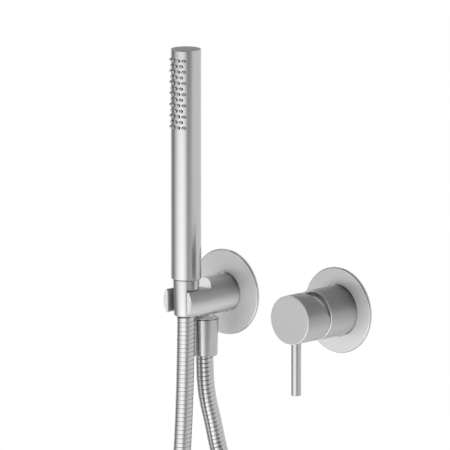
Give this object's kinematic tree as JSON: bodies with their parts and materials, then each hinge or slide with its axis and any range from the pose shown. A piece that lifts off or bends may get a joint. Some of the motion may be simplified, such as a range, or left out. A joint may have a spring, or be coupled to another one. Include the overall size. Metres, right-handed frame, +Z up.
{
  "type": "concealed shower mixer set",
  "caption": "Wall-mounted shower set in brushed steel: single-lever concealed mixer, U-shaped wall holder with water outlet, metal hose and a slim baton hand shower.",
  "frame": {"origin": "the mixer's axis on the finished wall, where its rosette's back meets the tiles", "axes": "+Z up, +Y into the wall, so the set stands out towards -Y; the hand shower's holder is towards -X"},
  "size_m": [0.2359, 0.1235, 0.5299],
  "materials": {
    "brushed_steel": "fine brushed",
    "polished_steel": "polished",
    "plain_steel": "machined",
    "hose_steel": "wound strip, satin",
    "brass": "cast and turned",
    "ceramic": "ground ceramic",
    "cartridge_plastic": "moulded",
    "white_plastic": "moulded",
    "black_rubber": "moulded",
    "seal_foam": "closed-cell foam",
    "fibre": "pressed fibre",
    "nozzle_silicone": "soft silicone"
  },
  "bodies": {
    "mixer_and_holder": {"mixer_rosette": "brushed_steel", "holder_rosette": "brushed_steel", "mixer_sleeve": "brushed_steel", "holder_body": "brushed_steel", "outlet_nipple": "brushed_steel", "outlet_hose_nut": "brushed_steel", "cover_ring": "polished_steel", "holder_grub_screw": "plain_steel", "check_valve_spring": "plain_steel", "outlet_ferrule": "plain_steel", "hand_shower_ferrule": "plain_steel", "hose_shower_strand": "hose_steel", "hose_outlet_strand": "hose_steel", "hose_coil": "hose_steel", "mixer_body": "brass", "cartridge_nut": "brass", "bridge_pipe": "brass", "mixer_union_nut": "brass", "elbow_union_nut": "brass", "wall_elbow": "brass", "wall_nipple": "brass", "fixed_disc": "ceramic", "cartridge_base": "cartridge_plastic", "cartridge_housing": "cartridge_plastic", "check_valve_body": "white_plastic", "port_seals": "black_rubber", "sleeve_ring": "black_rubber", "outlet_washer": "black_rubber", "hose_ties": "black_rubber", "mixer_rosette_seal": "seal_foam", "holder_rosette_seal": "seal_foam", "mixer_pipe_washer": "fibre", "elbow_pipe_washer": "fibre"},
    "turning_stem": {"cartridge_stem": "cartridge_plastic", "pivot_pin": "plain_steel"},
    "disc_slider": {"moving_disc": "ceramic", "disc_carrier": "cartridge_plastic"},
    "handle": {"spindle": "plain_steel", "handle_cap": "brushed_steel", "lever_pin": "brushed_steel", "handle_grub_screw": "plain_steel"},
    "valve_poppet": {"check_valve_poppet": "white_plastic"},
    "hand_shower": {"baton_tube": "brushed_steel", "nozzle_pad": "nozzle_silicone", "water_guide": "white_plastic", "hand_shower_plug": "plain_steel", "flow_regulator": "white_plastic", "hand_shower_washer": "black_rubber", "hand_shower_nut": "brushed_steel"}
  },
  "joints": [
    {"name": "handle_turn", "type": "hinge", "parent": "mixer_and_holder", "child": "turning_stem", "pos_m": [0, -0.028, 0], "axis": [0, -1, 0], "range_deg": [-45, 45]},
    {"name": "handle_lift", "type": "hinge", "parent": "turning_stem", "child": "handle", "pos_m": [0, -0.028, 0], "axis": [-1, 0, 0], "range_deg": [0, 23]},
    {"name": "disc_slide", "type": "slide", "parent": "turning_stem", "child": "disc_slider", "axis": [0, 0, -1], "range_m": [0, 0.0032]},
    {"name": "poppet_slide", "type": "slide", "parent": "mixer_and_holder", "child": "valve_poppet", "axis": [0, 0, -1], "range_m": [0, 0.0025], "stiffness_N_per_m": 60, "springref_m": -0.003, "deforming": ["check_valve_spring"]},
    {"name": "hand_shower_swivel", "type": "hinge", "parent": "mixer_and_holder", "child": "hand_shower", "pos_m": [-0.12, -0.0498, 0], "axis": [0, 0, 1], "continuous": true}
  ],
  "couplings": [
    {"joint": "disc_slide", "follows": "handle_lift", "m_per_rad": 0.0077}
  ]
}
